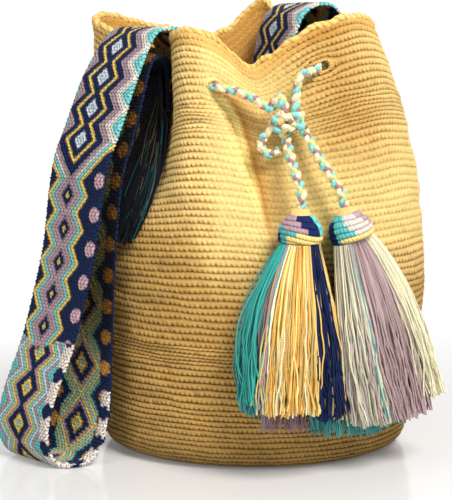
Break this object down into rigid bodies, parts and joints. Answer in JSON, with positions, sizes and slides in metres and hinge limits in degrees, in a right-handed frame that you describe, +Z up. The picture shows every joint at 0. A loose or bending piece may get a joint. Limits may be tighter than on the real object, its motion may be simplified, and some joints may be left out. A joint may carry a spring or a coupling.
{
  "type": "crochet drawstring bucket bag",
  "caption": "Crocheted bucket bag with a folded mouth, a braided drawstring knotted in front, wrapped tassels and a wide patterned woven shoulder strap.",
  "frame": {"origin": "middle of the flat underside of the base, on the surface that the bag stands on", "axes": "+Z up, -Y towards the front with the knot and tassels, +X to the right of someone who looks at the front"},
  "size_m": [0.336, 0.2473, 0.3437],
  "materials": {
    "crochet_cotton": "matte crocheted cotton",
    "woven_strap": "matte knotted cotton weave",
    "navy_yarn": "matte yarn",
    "braided_cord": "matte braided cotton",
    "tassel_wraps": "matte wrapped yarn",
    "tassel_yarn": "matte yarn",
    "tassel_yarn_pale": "matte yarn"
  },
  "bodies": {
    "root": {"bag_body": "crochet_cotton", "strap": "woven_strap", "strap_fringe_left": "navy_yarn", "strap_fringe_right": "navy_yarn", "drawstring_left_arm": "braided_cord", "drawstring_inside": "braided_cord", "drawstring_right_arm": "braided_cord", "drawstring_knot": "braided_cord", "drawstring_bight": "braided_cord", "drawstring_tail_left": "braided_cord", "drawstring_tail_right": "braided_cord", "tassel_head_left": "tassel_wraps", "tassel_head_right": "tassel_wraps", "tassel_skirt_left": "tassel_yarn", "tassel_skirt_right": "tassel_yarn_pale"}
  },
  "joints": []
}
